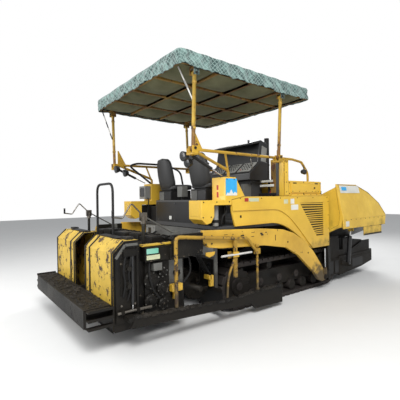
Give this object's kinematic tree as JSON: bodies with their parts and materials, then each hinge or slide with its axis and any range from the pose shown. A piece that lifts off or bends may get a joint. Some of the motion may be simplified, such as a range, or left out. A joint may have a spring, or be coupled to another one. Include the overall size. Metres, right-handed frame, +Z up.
{
  "type": "crawler asphalt paver",
  "caption": "Crawler asphalt paver with receiving hopper, folding wings, conveyor, augers, towed extending screed and folding canopy.",
  "frame": {"origin": "on the ground under the middle of the bounding box", "axes": "+X forward to the hopper, +Y to the machine's left, +Z up"},
  "size_m": [6.75, 2.88, 3.57],
  "materials": {
    "yellow_paint": "worn gloss paint with chips and rust",
    "ochre_paint": "dull weathered paint",
    "black_steel": "black paint, oily and dusty",
    "grey_steel": "bare worn steel with asphalt residue",
    "dark_grey": "dark grey paint",
    "chrome_rod": "polished hydraulic rod",
    "track_steel": "cast steel with asphalt residue",
    "net_fabric": "woven shade net",
    "lining_fabric": "canvas sheet",
    "vinyl": "black vinyl over foam"
  },
  "bodies": {
    "tractor": {"main_frame": "black_steel", "conveyor": "grey_steel", "tractor_rear_panel": "grey_steel", "operator_platform": "dark_grey", "engine_block": "dark_grey", "engine_hood": "yellow_paint", "exhaust_stack": "black_steel", "control_console": "dark_grey", "hopper_base": "black_steel", "push_beam": "black_steel", "auger_gearbox": "black_steel", "track_right": "track_steel", "track_frame_right": "track_steel", "side_cover_right": "yellow_paint", "rear_box_right": "yellow_paint", "operator_seat_right": "vinyl", "canopy_support_right": "yellow_paint", "track_left": "track_steel", "track_frame_left": "track_steel", "side_cover_left": "yellow_paint", "rear_box_left": "yellow_paint", "operator_seat_left": "vinyl", "canopy_support_left": "yellow_paint"},
    "tow_points": {"tow_block_right": "black_steel", "tow_block_left": "black_steel"},
    "screed": {"screed_frame": "grey_steel", "screed_walkway": "grey_steel", "screed_handrail": "black_steel", "tow_arm_right": "yellow_paint", "tow_arm_left": "yellow_paint", "depth_crank_right": "dark_grey", "depth_crank_left": "dark_grey"},
    "canopy_rear_posts": {"canopy_post_rear_right": "yellow_paint", "canopy_post_rear_left": "yellow_paint"},
    "canopy_front_posts": {"canopy_post_front_right": "yellow_paint", "canopy_post_front_left": "yellow_paint"},
    "canopy_roof": {"canopy_frame": "ochre_paint", "canopy_lining": "lining_fabric", "canopy_net": "net_fabric"},
    "hood_lid": {"hood_lid": "yellow_paint"},
    "extension_right": {"screed_extension_right": "yellow_paint", "end_gate_right": "black_steel", "gate_frame_right": "yellow_paint"},
    "hopper_wing_right": {"hopper_wing_right": "yellow_paint"},
    "wing_barrel_right": {"wing_cylinder_right": "black_steel"},
    "wing_rod_right": {"wing_rod_right": "chrome_rod"},
    "push_roller_right": {"push_roller_right": "grey_steel"},
    "auger_right": {"auger_right": "grey_steel"},
    "hood_door_right": {"hood_door_right": "yellow_paint"},
    "extension_left": {"screed_extension_left": "yellow_paint", "end_gate_left": "black_steel", "gate_frame_left": "yellow_paint"},
    "hopper_wing_left": {"hopper_wing_left": "yellow_paint"},
    "wing_barrel_left": {"wing_cylinder_left": "black_steel"},
    "wing_rod_left": {"wing_rod_left": "chrome_rod"},
    "push_roller_left": {"push_roller_left": "grey_steel"},
    "auger_left": {"auger_left": "grey_steel"},
    "hood_door_left": {"hood_door_left": "yellow_paint"}
  },
  "joints": [
    {"name": "tow_point_lift", "type": "slide", "parent": "tractor", "child": "tow_points", "axis": [0, 0, 1], "range_m": [0, 0.12]},
    {"name": "screed_lift", "type": "hinge", "parent": "tow_points", "child": "screed", "pos_m": [0.995, 0, 0.24], "axis": [0, 1, 0], "range_deg": [-2.2, 3.5]},
    {"name": "extension_slide_right", "type": "slide", "parent": "screed", "child": "extension_right", "axis": [0, -1, 0], "range_m": [0, 0.8]},
    {"name": "wing_fold_right", "type": "hinge", "parent": "tractor", "child": "hopper_wing_right", "pos_m": [2.2, -0.66, 0.8], "axis": [-1, 0, 0], "range_deg": [0, 50]},
    {"name": "wing_barrel_tilt_right", "type": "hinge", "parent": "tractor", "child": "wing_barrel_right", "pos_m": [1.935, -1.21, 0.36], "axis": [-1, 0, 0], "range_deg": [0, 22.6]},
    {"name": "wing_rod_stroke_right", "type": "slide", "parent": "wing_barrel_right", "child": "wing_rod_right", "axis": [0, -0.0744, 0.9972], "range_m": [0, 0.435]},
    {"name": "push_roller_spin_right", "type": "hinge", "parent": "tractor", "child": "push_roller_right", "pos_m": [3.29, -0.5, 0.44], "axis": [0, 1, 0], "continuous": true},
    {"name": "auger_spin_right", "type": "hinge", "parent": "tractor", "child": "auger_right", "pos_m": [-1.75, -0.5, 0.46], "axis": [0, 1, 0], "continuous": true},
    {"name": "hood_door_swing_right", "type": "hinge", "parent": "tractor", "child": "hood_door_right", "pos_m": [0.65, -1.109, 1.958], "axis": [-1, 0, 0], "range_deg": [0, 95]},
    {"name": "extension_slide_left", "type": "slide", "parent": "screed", "child": "extension_left", "axis": [0, 1, 0], "range_m": [0, 0.8]},
    {"name": "wing_fold_left", "type": "hinge", "parent": "tractor", "child": "hopper_wing_left", "pos_m": [2.2, 0.66, 0.8], "axis": [1, 0, 0], "range_deg": [0, 50]},
    {"name": "wing_barrel_tilt_left", "type": "hinge", "parent": "tractor", "child": "wing_barrel_left", "pos_m": [1.935, 1.21, 0.36], "axis": [1, 0, 0], "range_deg": [0, 22.6]},
    {"name": "wing_rod_stroke_left", "type": "slide", "parent": "wing_barrel_left", "child": "wing_rod_left", "axis": [0, 0.0744, 0.9972], "range_m": [0, 0.435]},
    {"name": "push_roller_spin_left", "type": "hinge", "parent": "tractor", "child": "push_roller_left", "pos_m": [3.29, 0.5, 0.44], "axis": [0, 1, 0], "continuous": true},
    {"name": "auger_spin_left", "type": "hinge", "parent": "tractor", "child": "auger_left", "pos_m": [-1.75, 0.5, 0.46], "axis": [0, 1, 0], "continuous": true},
    {"name": "hood_door_swing_left", "type": "hinge", "parent": "tractor", "child": "hood_door_left", "pos_m": [0.65, 1.109, 1.958], "axis": [1, 0, 0], "range_deg": [0, 95]},
    {"name": "hood_lid_swing", "type": "hinge", "parent": "tractor", "child": "hood_lid", "pos_m": [1.135, 0, 2.015], "axis": [0, 1, 0], "range_deg": [0, 70]},
    {"name": "canopy_fold", "type": "hinge", "parent": "tractor", "child": "canopy_rear_posts", "pos_m": [-1.985, 0, 2.36], "axis": [0, -1, 0], "range_deg": [0, 55]},
    {"name": "canopy_roof_level", "type": "hinge", "parent": "canopy_rear_posts", "child": "canopy_roof", "pos_m": [-1.985, 0, 3.315], "axis": [0, 1, 0], "range_deg": [0, 55]},
    {"name": "canopy_front_post_fold", "type": "hinge", "parent": "tractor", "child": "canopy_front_posts", "pos_m": [-0.265, 0, 2.36], "axis": [0, -1, 0], "range_deg": [0, 55]}
  ],
  "couplings": [
    {"joint": "wing_barrel_tilt_right", "follows": "wing_fold_right", "ratio": 0.4455},
    {"joint": "wing_rod_stroke_right", "follows": "wing_fold_right", "m_per_rad": 0.4922},
    {"joint": "wing_barrel_tilt_left", "follows": "wing_fold_left", "ratio": 0.4455},
    {"joint": "wing_rod_stroke_left", "follows": "wing_fold_left", "m_per_rad": 0.4922},
    {"joint": "canopy_roof_level", "follows": "canopy_fold", "ratio": 1},
    {"joint": "canopy_front_post_fold", "follows": "canopy_fold", "ratio": 1}
  ]
}
